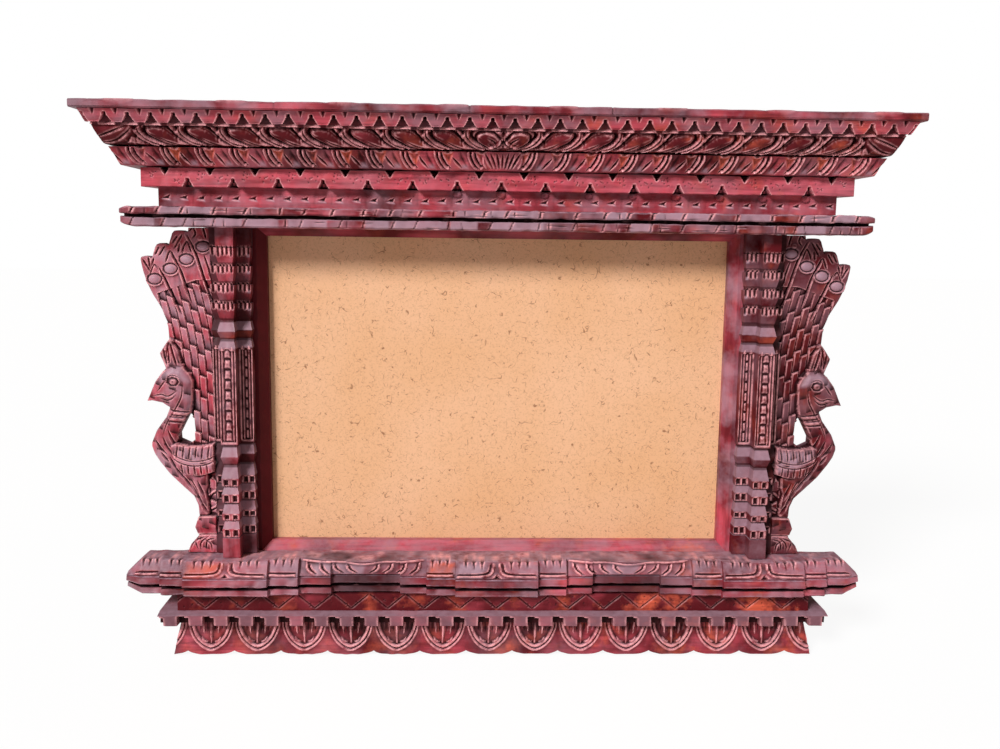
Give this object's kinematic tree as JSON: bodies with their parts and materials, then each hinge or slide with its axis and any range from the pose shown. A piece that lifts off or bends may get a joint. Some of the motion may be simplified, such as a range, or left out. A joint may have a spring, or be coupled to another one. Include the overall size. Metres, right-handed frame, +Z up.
{
  "type": "carved window",
  "caption": "Carved wooden window with a stepped leaf cornice, ribbed posts, pierced bird brackets, a lotus sill and a board closing the opening.",
  "frame": {"origin": "middle of the back plane at the lowest edge, where the window meets the wall", "axes": "+X along the width to the viewer's right, +Y into the wall, +Z up"},
  "size_m": [0.493, 0.07, 0.348],
  "materials": {
    "painted_wood": "worn semi-gloss maroon paint over carved wood",
    "worn_ledge": "maroon paint rubbed grey-pink and beige",
    "fibreboard": "bare pale fibreboard with fine brown flecks",
    "pin_steel": "dull flat sheet steel"
  },
  "bodies": {
    "root": {"cornice_cap": "painted_wood", "tooth_moulding": "painted_wood", "large_leaf_moulding": "painted_wood", "small_leaf_moulding": "painted_wood", "notched_fascia": "painted_wood", "chip_frieze": "painted_wood", "eave_ledge": "worn_ledge", "top_rail": "painted_wood", "bottom_rail": "painted_wood", "left_stile": "painted_wood", "right_stile": "painted_wood", "backing_board": "fibreboard", "board_points": "pin_steel", "left_post": "painted_wood", "right_post": "painted_wood", "left_peacock": "painted_wood", "right_peacock": "painted_wood", "lotus_sill": "painted_wood", "zigzag_band": "painted_wood", "dentil_moulding": "painted_wood", "petal_skirt": "painted_wood"}
  },
  "joints": []
}
